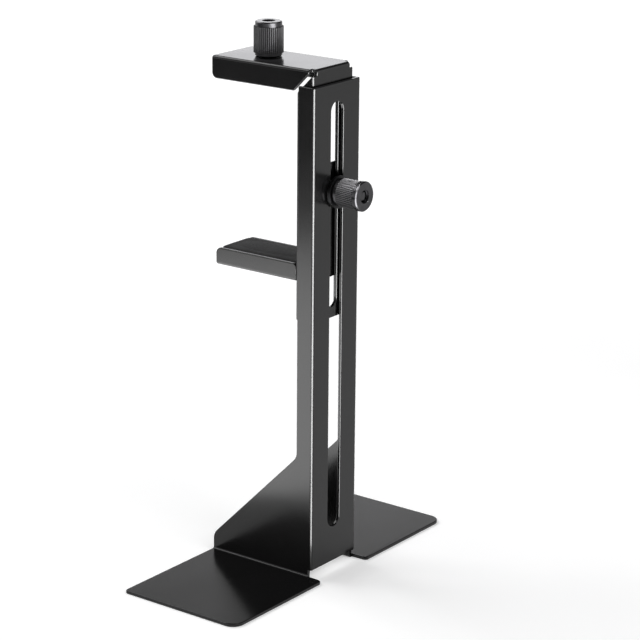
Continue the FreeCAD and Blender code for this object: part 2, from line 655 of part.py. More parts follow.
def build_top_knob():
    """Turned knob with plain collars and straight splines, bored for its screw."""
    body = new_body("top_knob")
    total = "sizes.top_knob_length"
    upper = f"({total} - sizes.top_upper_collar)"
    lower = "sizes.top_lower_collar"
    small = "sizes.top_collar_radius"
    large = "sizes.top_knurl_radius"
    cut = "sizes.knob_chamfer"
    stop = f"({total} - sizes.top_recess_depth)"
    profile = new_sketch(body, "profile", "XZ_Plane")
    outline(profile, [
        ("sizes.thread_radius", "0"),
        (f"{small} - {cut}", "0"),
        (small, cut),
        (small, lower),
        (large, lower),
        (large, upper),
        (small, upper),
        (small, f"{total} - {cut}"),
        (f"{small} - {cut}", total),
        ("sizes.top_recess_radius", total),
        ("sizes.top_recess_radius", stop),
        ("sizes.thread_radius", stop),
    ])
    revolve(body, profile, "turned")
    groove = new_sketch(body, "groove", "XY_Plane", lower)
    rim = f"({large} + sizes.spline_depth)"
    opening = f"(2 * sizes.spline_share * 180 / sizes.spline_count)"
    outline(groove, [
        (f"{large} - sizes.spline_depth", "0"),
        (f"{rim} * cos({opening})", f"{rim} * sin({opening})"),
        (f"{rim} * cos({opening})", f"-{rim} * sin({opening})"),
    ])
    first = feature_from(body, "Pocket", groove, "spline", f"{upper} - {lower}", turned=True)
    pattern = body.newObject("PartDesign::PolarPattern", "top_knob_splines")
    pattern.Originals = [first]
    pattern.Axis = (profile, ["V_Axis"])
    pattern.Angle = 360
    pattern.setExpression("Occurrences", "sizes.spline_count")
    body.Tip = pattern
    doc.recompute()
    place(body, CLAMP_X, f"{PLATE_TOP} + sizes.seat_gap")
    return body


def spline_ring(height, turn):
    """Star-shaped section of the slanted splines at a height, turned by an angle."""
    count = int(number("slant_count"))
    outer = number("side_knurl_radius")
    inner = outer - number("spline_depth")
    points = []
    for step in range(2 * count):
        radius = outer if step % 2 == 0 else inner
        angle = turn + math.pi * step / count
        points.append(Vector(radius * math.cos(angle), radius * math.sin(angle), height))
    return Part.makePolygon(points + points[:1])


def build_side_knob():
    """Turned knob with a wide front collar and slanted splines, bored for its screw."""
    start = number("side_rear_collar")
    finish = number("side_knob_length - side_front_collar")
    span = finish - start
    full_turn = -span * math.tan(math.radians(number("slant_angle"))) / number("side_knurl_radius")
    pitches = abs(full_turn) * number("slant_count") / (2 * math.pi)
    stations = math.ceil(pitches / RING_STEP)
    rings = [
        spline_ring(start + span * step / stations, full_turn * step / stations)
        for step in range(stations + 1)
    ]
    band = doc.addObject("Part::Feature", "side_knob_band")
    band.Shape = Part.makeLoft(rings, True, True)

    rear = doc.addObject("Part::Cylinder", "side_knob_rear")
    rear.setExpression("Radius", "sizes.side_rear_radius")
    rear.setExpression("Height", "sizes.side_rear_collar")
    front = doc.addObject("Part::Cylinder", "side_knob_front")
    front.setExpression("Radius", "sizes.side_collar_radius")
    front.setExpression("Height", "sizes.side_front_collar")
    front.setExpression("Placement.Base.z", "sizes.side_knob_length - sizes.side_front_collar")
    blank = doc.addObject("Part::MultiFuse", "side_knob_blank")
    blank.Shapes = [rear, band, front]
    bore = doc.addObject("Part::Cylinder", "side_knob_bore")
    bore.setExpression("Radius", "sizes.thread_radius")
    bore.setExpression("Height", "sizes.side_knob_length - sizes.side_recess_depth")
    bored = doc.addObject("Part::Cut", "side_knob_bored")
    bored.Base = blank
    bored.Tool = bore
    recess = doc.addObject("Part::Cylinder", "side_knob_recess")
    recess.setExpression("Radius", "sizes.side_recess_radius")
    recess.setExpression("Height", f"sizes.side_recess_depth + {PAST}")
    recess.setExpression("Placement.Base.z", "sizes.side_knob_length - sizes.side_recess_depth")
    hollow = doc.addObject("Part::Cut", "side_knob_hollow")
    hollow.Base = bored
    hollow.Tool = recess
    doc.recompute()

    knob = doc.addObject("Part::Chamfer", "side_knob")
    knob.Base = hollow
    rear_rim = (number("side_rear_radius"), 0, number("knob_chamfer"))
    face_rim = (number("side_collar_radius"), number("side_knob_length"), number("side_face_chamfer"))
    rims = []
    for index, edge in enumerate(hollow.Shape.Edges, 1):
        if not isinstance(edge.Curve, Part.Circle):
            continue
        for radius, end, cut in (rear_rim, face_rim):
            off = max(abs(edge.Curve.Radius - radius), abs(edge.CenterOfMass.z - end))
            if off < SAME_PLACE:
                rims.append((index, cut, cut))
    knob.Edges = rims
    place(knob, f"{WEB_X} + {WASHER_FACE} + sizes.seat_gap / 2", SCREW_HEIGHT, turned=True)
    doc.recompute()
    return knob


clamp_socket = f"{PLATE_TOP} + sizes.seat_gap + sizes.top_knob_length - sizes.top_recess_depth"
side_socket = f"{WEB_X} + {KNOB_FACE} - sizes.side_recess_depth"
pieces = [
    build_stand(),
    build_upper_bracket(),
    build_lower_arm(),
    build_tray_pad(),
    build_clinch_nut("plate_nut", CLAMP_X, f"{PLATE_TOP} - sizes.sheet_gauge", False),
    build_clinch_nut("arm_nut", f"{WEB_X} - 2 * {SHEET_STEP} - sizes.sheet_gauge", SCREW_HEIGHT, True),
    build_screw("clamp_screw", "sizes.clamp_screw_length", True, CLAMP_X, clamp_socket, False),
    build_pressure_foot(),
    build_top_knob(),
    build_screw("side_screw", "sizes.side_screw_length", False, side_socket, SCREW_HEIGHT, True),
    build_washer(),
    build_side_knob(),
]
doc.recompute()

for thing in doc.Objects:
    if any(word in thing.State for word in ("Invalid", "Error")):
        fail(f"{thing.Name} is {thing.State}")
    if thing.TypeId == "Sketcher::SketchObject" and not thing.FullyConstrained:
        fail(f"{thing.Name} is not fully constrained")
for piece in pieces:
    if piece.Shape.isNull() or not piece.Shape.isValid() or len(piece.Shape.Solids) != 1:
        fail(f"{piece.Label} has no single valid solid")
for piece in pieces:
    piece.Shape.exportStep(f"parts/{piece.Label}.step")
    print(piece.Label, round(piece.Shape.Volume, 2), piece.Shape.BoundBox)
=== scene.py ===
import math

import bpy
from mathutils import Matrix, Vector


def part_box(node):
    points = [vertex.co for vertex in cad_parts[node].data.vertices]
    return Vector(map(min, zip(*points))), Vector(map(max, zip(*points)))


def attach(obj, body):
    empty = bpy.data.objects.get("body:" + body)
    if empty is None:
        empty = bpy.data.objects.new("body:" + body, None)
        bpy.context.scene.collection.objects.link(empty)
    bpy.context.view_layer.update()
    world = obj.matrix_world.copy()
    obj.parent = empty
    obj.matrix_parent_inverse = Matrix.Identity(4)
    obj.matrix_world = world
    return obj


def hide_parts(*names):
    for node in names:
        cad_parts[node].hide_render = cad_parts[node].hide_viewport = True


# Support bracket: a black folded stand with a sliding top bracket and tray, held by two dark
# knurled thumb screws. Metres, +Z up, the floor at Z = 0.

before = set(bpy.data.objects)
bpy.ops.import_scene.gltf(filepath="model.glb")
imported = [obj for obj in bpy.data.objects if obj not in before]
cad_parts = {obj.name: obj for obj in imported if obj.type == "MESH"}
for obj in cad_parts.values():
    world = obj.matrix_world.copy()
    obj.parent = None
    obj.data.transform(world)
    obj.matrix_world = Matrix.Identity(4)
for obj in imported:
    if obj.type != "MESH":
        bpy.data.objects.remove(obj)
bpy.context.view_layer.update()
MM = 0.001

# Rounded edges and smooth shading
EDGE_BREAK = 0.32 * MM
EDGE_BREAK_STEPS = 3
FINE_BREAK = 0.05 * MM
SMOOTH_ANGLE = math.radians(32)
FLAT_ANGLE = math.radians(0.4)
STRAY = 0.12 * MM
SAME_PLACE = 0.001 * MM
SHADING_SCALE = 1024

# The stand's small notches beside the feet, whose edges stay sharp. The first number is along X,
# the second is the distance from the middle plane, and the third is the height.
RELIEF_LOW = (14 * MM, 10.3 * MM, -1 * MM)
RELIEF_HIGH = (17 * MM, 13 * MM, 3.6 * MM)

# Splines of both knobs
SPLINE_DEPTH = 0.3 * MM
SPLINE_CORNERS = 4
# Painted shade in the spline grooves begins this share of the depth below the crests and is full at the
# roots
SPLINE_PAINTED_SHADE_FROM = 0.1
KNOB_CHAMFER = 0.3 * MM

# Top knob
TOP_SPLINES = 44
TOP_KNURL_RADIUS = 5.0 * MM
TOP_COLLAR_RADIUS = 4.5 * MM
TOP_UPPER_COLLAR = 1.75 * MM
TOP_LOWER_COLLAR = 1.15 * MM
TOP_HOLE_RADIUS = 2.15 * MM
TOP_HOLE_DEPTH = 3.0 * MM

# Side knob
SIDE_SPLINES = 40
SIDE_KNURL_RADIUS = 4.85 * MM
SIDE_REAR_RADIUS = 4.6 * MM
SIDE_REAR_COLLAR = 1.5 * MM
SIDE_FRONT_COLLAR = 1.7 * MM
SIDE_HOLE_RADIUS = 2.3 * MM
SIDE_HOLE_DEPTH = 0.8 * MM
SIDE_FACE_CHAMFER = 0.35 * MM
SLANT_ANGLE = math.radians(24)

# Screws with an M5 coarse thread
THREAD_PITCH = 0.8 * MM
THREAD_RADIUS = 2.44 * MM
THREAD_ROOT = 2.03 * MM
THREAD_TOOTH = 0.5 * MM
SOCKET_WIDTH = 2.5 * MM
SOCKET_DEPTH = 2.5 * MM
SCREW_CHAMFER = 0.45 * MM
DOG_RADIUS = 1.72 * MM
DOG_LENGTH = 1.6 * MM

# Rubber pieces
PAD_ROUND = 0.9 * MM
PAD_ROUND_STEPS = 3
PAD_CROWN = 0.25 * MM
PAD_LEVELS = 3
FOOT_CHAMFER = 0.5 * MM
FOOT_BORE = 1.8 * MM
FOOT_LIP = 0.8 * MM
FOOT_DISH = 0.35 * MM
FOOT_BREAK = 0.1 * MM
FOOT_BREAK_STEPS = 3
FOOT_SMOOTH = math.radians(20)

# Sides of the round pieces
KNOB_SIDES = 96
HOLE_SIDES = 48
SCREW_SIDES = 48
FOOT_SIDES = 64
THREAD_SIDES = 24
TWIST_CUTS = 11

# Patterns, each by its scale for a metre, its detail and its roughness
BROAD_CLOUD = (35, 4)
FINE_PEEL = (420, 2)
COAT_GRAIN = (2400, 3, 0.6)
COAT_WEAR = (260, 4, 0.6)
TURNED_CLOUD = (260, 4)
TURNED_GRAIN = (5200, 3, 0.7)
TURNED_WEAR = (700, 4, 0.6)
KNURL_CLOUD = (300, 4)
KNURL_GRAIN = (3600, 3, 0.7)
STEEL_CLOUD = (400, 4)
STEEL_GRAIN = (4200, 3, 0.7)
STEEL_WEAR = (900, 4, 0.6)
RUBBER_CLOUD = (120, 4)
FOAM_SKIN = (1400, 4, 0.65)
FOOT_SKIN = (3000, 4, 0.65)
FLOOR_CLOUD = (8, 3)
CLOTH_CLOUD = (40, 3)

# Where a pattern starts and ends, out of nought to one
NOISE_SPAN = (0.3, 0.7)
WEAR_SPAN = (0.42, 0.62)
EDGE_SPAN = (0.9, 0.995)
EDGE_SAMPLES = 6

# Semi-gloss black coating of the sheets
COAT_TONES = ((0.0022, 0.0022, 0.0023), (0.0036, 0.0035, 0.0037))
COAT_WORN = (0.05, 0.05, 0.052)
COAT_WEAR_SHARE = 0.4
COAT_WEAR_WIDTH = 0.25 * MM
COAT_ROUGHNESS = (0.17, 0.22)
COAT_BUMP = 0.002 * MM
COAT_IOR = 1.45

# Dark plating of the knobs, on their turned faces and on their splines
TURNED_TONES = ((0.055, 0.054, 0.057), (0.08, 0.079, 0.083))
TURNED_WORN = (0.45, 0.45, 0.46)
TURNED_WEAR_SHARE = 0.3
TURNED_ROUGHNESS = (0.2, 0.28)
TURNED_BUMP = 0.002 * MM
LATHE_STEP = 0.09 * MM
LATHE_SHARE = 0.1
METAL_WEAR_WIDTH = 0.1 * MM
KNURL_TONES = ((0.05, 0.049, 0.051), (0.075, 0.074, 0.077))
KNURL_RUBBED = (0.14, 0.14, 0.143)
KNURL_RUBBED_SHARE = 0.35
# Painted shade: the colour that the spline grooves are darkened to at their roots
KNURL_PAINTED_GROOVE_SHADE = (0.006, 0.006, 0.006)
KNURL_ROUGHNESS = (0.42, 0.55)
KNURL_BUMP = 0.006 * MM

# Steel of the screws, the washer and the nuts
SCREW_TONES = ((0.09, 0.09, 0.092), (0.14, 0.14, 0.143))
SCREW_ROUGHNESS = (0.24, 0.34)
WASHER_TONES = ((0.02, 0.02, 0.021), (0.035, 0.035, 0.036))
WASHER_ROUGHNESS = (0.3, 0.4)
NUT_TONES = ((0.42, 0.42, 0.43), (0.56, 0.56, 0.57))
NUT_ROUGHNESS = (0.24, 0.36)
STEEL_WORN = (0.62, 0.62, 0.63)
STEEL_WEAR_SHARE = 0.5
STEEL_BUMP = 0.003 * MM

# Black rubber and foam
RUBBER_TONES = ((0.010, 0.010, 0.0105), (0.020, 0.020, 0.021))
RUBBER_ROUGHNESS = (0.62, 0.85)
RUBBER_SPECULAR = 0.35
FOAM_BUMP = 0.03 * MM
FOOT_BUMP = 0.012 * MM

# Floor and backdrop. The backdrop is white up to a low height, and the ceiling over it is dim.
FLOOR_WIDTH = 6
FLOOR_TONES = ((0.86, 0.86, 0.865), (0.9, 0.9, 0.9))
FLOOR_ROUGHNESS = 0.8
FLOOR_GLOW = (0.28, 0.68)
FLOOR_GLOW_FROM = (0.25, 1.2)
FLOOR_MIRRORED = 0.4
BACKDROP_TOP = math.radians(13)
CEILING_START = math.radians(32)
CEILING_TONE = (0.09, 0.09, 0.09)
FILL_LIGHT = (0.42, 0.42, 0.42)
WHITE = (1, 1, 1)
COOL_WHITE = (0.95, 0.95, 1.0)

# Softboxes: azimuth and elevation in degrees, distance, width, height, brightness and tint.
# Azimuths are from the front towards +X. A brightness of one is the white of the backdrop.
LIT_MIDDLE = Vector((0, 0, 90 * MM))
LEFT_SOFTBOX = (-85, 42, 1.0, 0.7, 0.6, 3.8, WHITE)
RIGHT_SOFTBOX = (79, 43, 1.0, 0.4, 0.4, 5, WHITE)
BACK_SOFTBOX = (217, 11, 2.5, 1.4, 0.4, 1.2, COOL_WHITE)
KNOB_SOFTBOX = (-30, 75, 0.8, 0.6, 0.6, 45, WHITE)
RING_SOFTBOX = (58, 12, 1.0, 0.25, 0.6, 12, WHITE)

# Bright sheets on the floor: azimuth, nearest and furthest distance from the stand's corner,
# width and brightness
STAND_CORNER = Vector((16 * MM, -12 * MM, 2 * MM))
LEFT_REFLECTOR = (-37, 0.075, 0.42, 0.3, 3.3)
COLLAR_REFLECTOR = (75, 0.3, 1.9, 0.7, 12)
RING_REFLECTOR = (57, 0.08, 0.8, 0.3, 12)

# The front reflector is a fan of sheets. Each is twice as long as the one before it.
FAN_AZIMUTH = 55
FAN_SHEETS = 6
FAN_START = 0.025
FAN_WIDTH = 1.25
FAN_BRIGHTNESS = 19.5
FAN_BRIGHTER = 1.5

# Dark cloth on the floor: azimuth, nearest and furthest distance, and width
LEFT_FLAG = (-37, 0.44, 1.9, 1.0)
CLOTH_TONES = ((0.1, 0.1, 0.1), (0.14, 0.14, 0.14))
CLOTH_ROUGHNESS = 0.9

# Camera, fitted to the part's corners. The image is taken as 640 by 640.
FOCAL_PIXELS = 2396.085
IMAGE_WIDTH = 640
SENSOR_WIDTH = 36
CAMERA_AZIMUTH = math.radians(36.755)
CAMERA_ELEVATION = math.radians(17.113)
CAMERA_ROLL = math.radians(0.480)
CAMERA_DISTANCE = 800.106 * MM
CAMERA_ACROSS = 5.141 * MM
CAMERA_UP = -4.487 * MM
CAMERA_SIGHT = (0.01, 20)
AIM_HEIGHT = 85 * MM
FOOT_FRONT = 4.8 * MM


def box_of(node):
    low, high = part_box(node)
    return Vector(low), Vector(high)


# Patterns for the materials

def new_material(name):
    """Material with its tree and its shader."""
    material = bpy.data.materials.new(name)
    material.use_nodes = True
    tree = material.node_tree
    return material, tree, tree.nodes["Principled BSDF"]


def object_pattern(tree, centre=(0, 0, 0)):
    """Object coordinates, centred on a point."""
    coordinates = tree.nodes.new("ShaderNodeTexCoord")
    mapping = tree.nodes.new("ShaderNodeMapping")
    mapping.vector_type = "TEXTURE"
    mapping.inputs["Location"].default_value = centre
    tree.links.new(coordinates.outputs["Object"], mapping.inputs["Vector"])
    return mapping.outputs["Vector"]


def noise(tree, vector, scale, detail, roughness=0.5):
    texture = tree.nodes.new("ShaderNodeTexNoise")
    texture.inputs["Scale"].default_value = scale
    texture.inputs["Detail"].default_value = detail
    texture.inputs["Roughness"].default_value = roughness
    tree.links.new(vector, texture.inputs["Vector"])
    return texture.outputs["Fac"]


def spread(tree, value, low, high, span=NOISE_SPAN):
    """Maps a pattern's span onto a range."""
    node = tree.nodes.new("ShaderNodeMapRange")
    node.inputs["From Min"].default_value = span[0]
    node.inputs["From Max"].default_value = span[1]
    node.inputs["To Min"].default_value = low
    node.inputs["To Max"].default_value = high
    tree.links.new(value, node.inputs["Value"])
    return node.outputs["Result"]


def combine_values(tree, operation, first, second):
    node = tree.nodes.new("ShaderNodeMath")
    node.operation = operation
    for socket, value in zip(node.inputs, (first, second)):
        if isinstance(value, (int, float)):
            socket.default_value = value
        else:
            tree.links.new(value, socket)
    return node.outputs["Value"]


def two_tone(tree, factor, first, second):
    """Mixes two colours by a pattern. A colour is three numbers or another node's output."""
    mix = tree.nodes.new("ShaderNodeMix")
    mix.data_type = "RGBA"
    for name, colour in (("A", first), ("B", second)):
        if isinstance(colour, tuple):
            mix.inputs[name].default_value = (*colour, 1)
        else:
            tree.links.new(colour, mix.inputs[name])
    tree.links.new(factor, mix.inputs["Factor"])
    return mix.outputs["Result"]


def surface_bump(tree, height, distance):
    bump = tree.nodes.new("ShaderNodeBump")
    bump.inputs["Distance"].default_value = distance
    bump.inputs["Strength"].default_value = 1
    tree.links.new(height, bump.inputs["Height"])
    return bump.outputs["Normal"]


def worn_edges(tree, radius, pattern):
    """One along the edges, broken up by a pattern, and zero on flat faces."""
    bevel = tree.nodes.new("ShaderNodeBevel")
    bevel.samples = EDGE_SAMPLES
    bevel.inputs["Radius"].default_value = radius
    geometry = tree.nodes.new("ShaderNodeNewGeometry")
    facing = tree.nodes.new("ShaderNodeVectorMath")
    facing.operation = "DOT_PRODUCT"
    tree.links.new(bevel.outputs["Normal"], facing.inputs[0])
    tree.links.new(geometry.outputs["Normal"], facing.inputs[1])
    edge = spread(tree, facing.outputs["Value"], 1, 0, EDGE_SPAN)
    return combine_values(tree, "MULTIPLY", edge, spread(tree, pattern, 0, 1, WEAR_SPAN))


def off_axis(tree, centre, across):
    """Distance from an axis through a point. The axis has no share in across."""
    flat = tree.nodes.new("ShaderNodeVectorMath")
    flat.operation = "MULTIPLY"
    flat.inputs[1].default_value = across
    tree.links.new(object_pattern(tree, centre), flat.inputs[0])
    length = tree.nodes.new("ShaderNodeVectorMath")
    length.operation = "LENGTH"
    tree.links.new(flat.outputs["Vector"], length.inputs[0])
    return length.outputs["Value"]


# Materials

def coated_sheet():
    """Semi-gloss black coating on steel sheet, with a fine grain and slightly paler edges."""
    material, tree, shader = new_material("coated_sheet")
    here = object_pattern(tree)
    broad = noise(tree, here, *BROAD_CLOUD)
    grain = noise(tree, here, *COAT_GRAIN)
    peel = noise(tree, here, *FINE_PEEL)
    edges = worn_edges(tree, COAT_WEAR_WIDTH, noise(tree, here, *COAT_WEAR))
    base = two_tone(tree, spread(tree, broad, 0, 1), *COAT_TONES)
    worn = two_tone(tree, spread(tree, edges, 0, COAT_WEAR_SHARE, (0, 1)), base, COAT_WORN)
    tree.links.new(worn, shader.inputs["Base Color"])
    tree.links.new(spread(tree, broad, *COAT_ROUGHNESS), shader.inputs["Roughness"])
    height = combine_values(tree, "ADD", grain, peel)
    tree.links.new(surface_bump(tree, height, COAT_BUMP), shader.inputs["Normal"])
    shader.inputs["IOR"].default_value = COAT_IOR
    return material


def turned_metal(name, centre, across):
    """Dark plated metal with fine lathe lines and rubbed edges."""
    material, tree, shader = new_material(name)
    here = object_pattern(tree)
    cloud = noise(tree, here, *TURNED_CLOUD)
    grain = noise(tree, here, *TURNED_GRAIN)
    edges = worn_edges(tree, METAL_WEAR_WIDTH, noise(tree, here, *TURNED_WEAR))
    radius = off_axis(tree, centre, across)
    base = two_tone(tree, spread(tree, cloud, 0, 1), *TURNED_TONES)
    worn = two_tone(tree, spread(tree, edges, 0, TURNED_WEAR_SHARE, (0, 1)), base, TURNED_WORN)
    tree.links.new(worn, shader.inputs["Base Color"])
    tree.links.new(spread(tree, cloud, *TURNED_ROUGHNESS), shader.inputs["Roughness"])
    rings = tree.nodes.new("ShaderNodeMath")
    rings.operation = "SINE"
    turns = combine_values(tree, "MULTIPLY", radius, 2 * math.pi / LATHE_STEP)
    tree.links.new(turns, rings.inputs[0])
    lines = combine_values(tree, "MULTIPLY", rings.outputs[0], LATHE_SHARE)
    height = combine_values(tree, "ADD", grain, lines)
    tree.links.new(surface_bump(tree, height, TURNED_BUMP), shader.inputs["Normal"])
    shader.inputs["Metallic"].default_value = 1
    return material


def knurled_metal(name, centre, across, crest):
    """The same plating over a knurl: matt, with painted shade that makes the grooves nearly black by their
    depth, and rubbed on the crests.
    """
    material, tree, shader = new_material(name)
    here = object_pattern(tree)
    cloud = noise(tree, here, *KNURL_CLOUD)
    grain = noise(tree, here, *KNURL_GRAIN)
    radius = off_axis(tree, centre, across)
    base = two_tone(tree, spread(tree, cloud, 0, 1), *KNURL_TONES)
    rubbed = two_tone(tree, spread(tree, grain, 0, KNURL_RUBBED_SHARE), base, KNURL_RUBBED)
    # Painted shade: the colour darkens with a groove's depth, standing in for the shade that falls into it
    painted_shade_span = (crest - SPLINE_DEPTH, crest - SPLINE_PAINTED_SHADE_FROM * SPLINE_DEPTH)
    painted_groove_shade = spread(tree, radius, 1, 0, painted_shade_span)
    tree.links.new(two_tone(tree, painted_groove_shade, rubbed, KNURL_PAINTED_GROOVE_SHADE), shader.inputs["Base Color"])
    tree.links.new(spread(tree, cloud, *KNURL_ROUGHNESS), shader.inputs["Roughness"])
    tree.links.new(surface_bump(tree, grain, KNURL_BUMP), shader.inputs["Normal"])
    shader.inputs["Metallic"].default_value = 1
    return material


def steel_finish(name, tones, roughness):
    """Steel with a cloudy tone and fine grain."""
    material, tree, shader = new_material(name)
    here = object_pattern(tree)
    cloud = noise(tree, here, *STEEL_CLOUD)
    grain = noise(tree, here, *STEEL_GRAIN)
    edges = worn_edges(tree, METAL_WEAR_WIDTH, noise(tree, here, *STEEL_WEAR))
    base = two_tone(tree, spread(tree, cloud, 0, 1), *tones)
    worn = two_tone(tree, spread(tree, edges, 0, STEEL_WEAR_SHARE, (0, 1)), base, STEEL_WORN)
    tree.links.new(worn, shader.inputs["Base Color"])
    tree.links.new(spread(tree, cloud, *roughness), shader.inputs["Roughness"])
    tree.links.new(surface_bump(tree, grain, STEEL_BUMP), shader.inputs["Normal"])
    shader.inputs["Metallic"].default_value = 1
    return material


def moulded_rubber(name, skin, skin_depth):
    """Matt black rubber or closed-cell foam with a fine skin."""
    material, tree, shader = new_material(name)
    here = object_pattern(tree)
    cloud = noise(tree, here, *RUBBER_CLOUD)
    grain = noise(tree, here, *skin)
    base = two_tone(tree, spread(tree, cloud, 0, 1), *RUBBER_TONES)
    tree.links.new(base, shader.inputs["Base Color"])
    tree.links.new(spread(tree, grain, *RUBBER_ROUGHNESS), shader.inputs["Roughness"])
    tree.links.new(surface_bump(tree, grain, skin_depth), shader.inputs["Normal"])
    shader.inputs["Specular IOR Level"].default_value = RUBBER_SPECULAR
    return material


# Modelling by hand

def deselect_all():
    if bpy.context.object and bpy.context.object.mode != "OBJECT":
        bpy.ops.object.mode_set(mode="OBJECT")
    bpy.ops.object.select_all(action="DESELECT")


def activate(thing):
    deselect_all()
    thing.select_set(True)
    bpy.context.view_layer.objects.active = thing


def name_new(name):
    """Names the primitive that was just added."""
    piece = bpy.context.object
    piece.name = name
    piece.data.name = name
    return piece


def pick(piece, kind, test):
    """Leaves the piece in edit mode with only the parts selected that pass a test."""
    activate(piece)
    bpy.ops.object.mode_set(mode="EDIT")
    bpy.ops.mesh.select_mode(type=kind)
    bpy.ops.mesh.select_all(action="DESELECT")
    bpy.ops.object.mode_set(mode="OBJECT")
    mesh = piece.data
    for part in {"VERT": mesh.vertices, "EDGE": mesh.edges, "FACE": mesh.polygons}[kind]:
        part.select = test(part)
    bpy.ops.object.mode_set(mode="EDIT")


def edge_ends(piece, edge):
    return [piece.data.vertices[index].co for index in edge.vertices]


def edges_at(piece, height):
    """Test for the edges that lie at a height."""
    return lambda edge: all(abs(end.z - height) < SAME_PLACE for end in edge_ends(piece, edge))


def edges_across(piece):
    """Test for the edges that rise."""
    def rises(edge):
        start, end = edge_ends(piece, edge)
        return abs(start.z - end.z) > SAME_PLACE
    return rises


def face_at(height, up):
    """Test for the flat face at a height that looks up or down."""
    return lambda face: abs(face.center.z - height) < SAME_PLACE and face.normal.z * up > 0.99


def apply_modifier(piece, modifier):
    activate(piece)
    bpy.ops.object.modifier_apply(modifier=modifier.name)


def combine(piece, other, operation):
    """Boolean of two pieces. The other piece is used up."""
    cut = piece.modifiers.new("shape", "BOOLEAN")
    cut.operation = operation
    cut.solver = "EXACT"
    cut.material_mode = "TRANSFER"
    cut.object = other
    apply_modifier(piece, cut)
    bpy.data.objects.remove(other)


def upright_cylinder(name, radius, low, high, sides):
    deselect_all()
    bpy.ops.mesh.primitive_cylinder_add(
        vertices=sides, radius=radius, depth=high - low, location=(0, 0, (low + high) / 2))
    piece = name_new(name)
    bpy.ops.object.transform_apply(location=True, rotation=False, scale=False)
    return piece


def chamfer_rim(piece, height, width):
    pick(piece, "EDGE", edges_at(piece, height))
    bpy.ops.mesh.bevel(offset=width, segments=1)
    bpy.ops.object.mode_set(mode="OBJECT")


def seat(piece, place, turned=False):
    """Puts an upright piece at its place. A turned piece has its own +Z along the part's +X."""
    activate(piece)
    if turned:
        piece.rotation_euler = (0, math.radians(90), 0)
    piece.location = place
    bpy.ops.object.transform_apply(location=True, rotation=True, scale=True)


def resize(piece, factor):
    activate(piece)
    piece.scale = (factor, factor, factor)
    bpy.ops.object.transform_apply(location=False, rotation=False, scale=True)


def merge_doubles(piece, distance):
    activate(piece)
    bpy.ops.object.mode_set(mode="EDIT")
    bpy.ops.mesh.select_all(action="SELECT")
    bpy.ops.mesh.remove_doubles(threshold=distance)
    bpy.ops.object.mode_set(mode="OBJECT")


def pull_in(piece, node):
    """Brings corners that the rounding pushed off the CAD surface back onto it."""
    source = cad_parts[node]
    strays = piece.vertex_groups.new(name="strays")
    for corner in piece.data.vertices:
        found, nearest, normal, face = source.closest_point_on_mesh(corner.co)
        if (nearest - corner.co).length > STRAY:
            strays.add([corner.index], 1, "REPLACE")
    hug = piece.modifiers.new("pull_in", "SHRINKWRAP")
    hug.target = source
    hug.wrap_method = "NEAREST_SURFACEPOINT"
    hug.vertex_group = strays.name
    apply_modifier(piece, hug)
    piece.vertex_groups.remove(piece.vertex_groups[strays.name])


def flatten_faces(piece):
    """Shading that follows the large faces. It is set on an enlarged piece, where small faces count."""
    resize(piece, SHADING_SCALE)
    flatten = piece.modifiers.new("flat_faces", "WEIGHTED_NORMAL")
    flatten.mode = "FACE_AREA"
    flatten.weight = 50
    flatten.keep_sharp = True
    apply_modifier(piece, flatten)
    resize(piece, 1 / SHADING_SCALE)


def soften(piece, width, segments=2, angle=SMOOTH_ANGLE, left_sharp=None, node=None):
    """Round on the sharp edges that aren't left so, smooth shading, and flat faces kept flat."""
    pick(piece, "EDGE", lambda edge: False)
    bpy.ops.mesh.edges_select_sharp(sharpness=angle)
    bpy.ops.object.mode_set(mode="OBJECT")
    share = piece.data.attributes.new("bevel_weight_edge", "FLOAT", "EDGE")
    for edge in piece.data.edges:
        if edge.select and not (left_sharp and left_sharp(edge)):
            share.data[edge.index].value = 1
    bevel = piece.modifiers.new("edge_break", "BEVEL")
    bevel.width = width
    bevel.segments = segments
    bevel.limit_method = "WEIGHT"
    bevel.use_clamp_overlap = False
    apply_modifier(piece, bevel)
    piece.data.attributes.remove(piece.data.attributes["bevel_weight_edge"])
    if node:
        pull_in(piece, node)
        merge_doubles(piece, 2 * SAME_PLACE)
    bpy.ops.object.shade_smooth_by_angle(angle=angle)
    flatten_faces(piece)


def clean_copy(node, name):
    """Copy of a CAD node with its doubles merged and its flat faces whole."""
    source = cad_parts[node]
    piece = bpy.data.objects.new(name, source.data.copy())
    bpy.context.scene.collection.objects.link(piece)
    merge_doubles(piece, SAME_PLACE)
    bpy.ops.object.mode_set(mode="EDIT")
    bpy.ops.mesh.dissolve_limited(angle_limit=FLAT_ANGLE)
    bpy.ops.object.mode_set(mode="OBJECT")
    return piece


def coat(piece, material):
    piece.data.materials.clear()
    piece.data.materials.append(material)


def register(piece, body, node):
    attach(piece, body)
    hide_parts(node)


# Folded sheets, nuts and washer

def in_relief(sheet, edge):
    """Tells whether an edge is at the small notch between the stand's web, its side and its foot."""
    middle = sum(edge_ends(sheet, edge), Vector()) / 2
    place = (middle.x, abs(middle.y), middle.z)
    return all(low < value < high for low, value, high in zip(RELIEF_LOW, place, RELIEF_HIGH))


def build_sheet(node, body):
    sheet = clean_copy(node, f"{node}_sheet")
    soften(sheet, EDGE_BREAK, EDGE_BREAK_STEPS, left_sharp=lambda edge: in_relief(sheet, edge), node=node)
    coat(sheet, sheet_coat)
    register(sheet, body, node)


def build_steel_piece(node, body, material):
    piece = clean_copy(node, f"{node}_steel")
    soften(piece, FINE_BREAK)
    coat(piece, material)
    register(piece, body, node)


# Knobs

